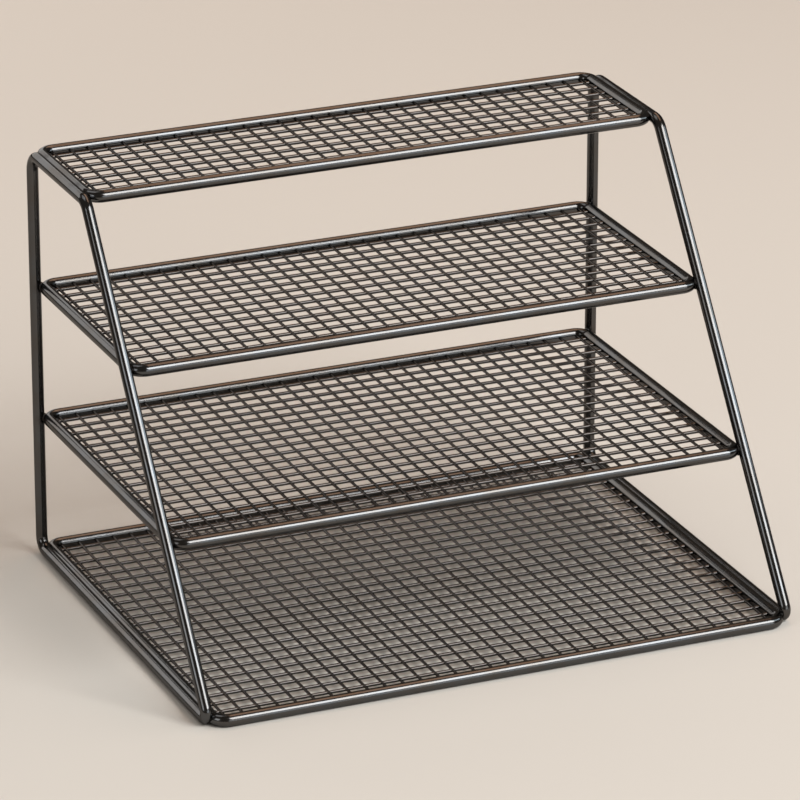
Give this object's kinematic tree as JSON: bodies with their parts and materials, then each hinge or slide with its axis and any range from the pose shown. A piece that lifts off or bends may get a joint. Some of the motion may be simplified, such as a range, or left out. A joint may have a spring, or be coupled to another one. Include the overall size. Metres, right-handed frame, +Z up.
{
  "type": "tiered mesh countertop rack",
  "caption": "Stepped countertop rack of dark plated wire: mesh shelves in bent wire rims, welded between slanting side frames, for jars and small goods.",
  "frame": {"origin": "middle of the rack on the surface that it stands on", "axes": "+X along the shelves to the right, +Y to the upright rear, +Z up"},
  "size_m": [0.407, 0.3108, 0.2827],
  "materials": {
    "frame_wire": "dark plated, glossy",
    "rim_wire": "dark plated, glossy",
    "mesh_wire": "dark plated, semi-gloss"
  },
  "bodies": {
    "root": {"left_side_frame": "frame_wire", "right_side_frame": "frame_wire", "bottom_rim": "rim_wire", "lower_middle_rim": "rim_wire", "upper_middle_rim": "rim_wire", "top_rim": "rim_wire", "bottom_mesh": "mesh_wire", "lower_middle_mesh": "mesh_wire", "upper_middle_mesh": "mesh_wire", "top_mesh": "mesh_wire"}
  },
  "joints": []
}
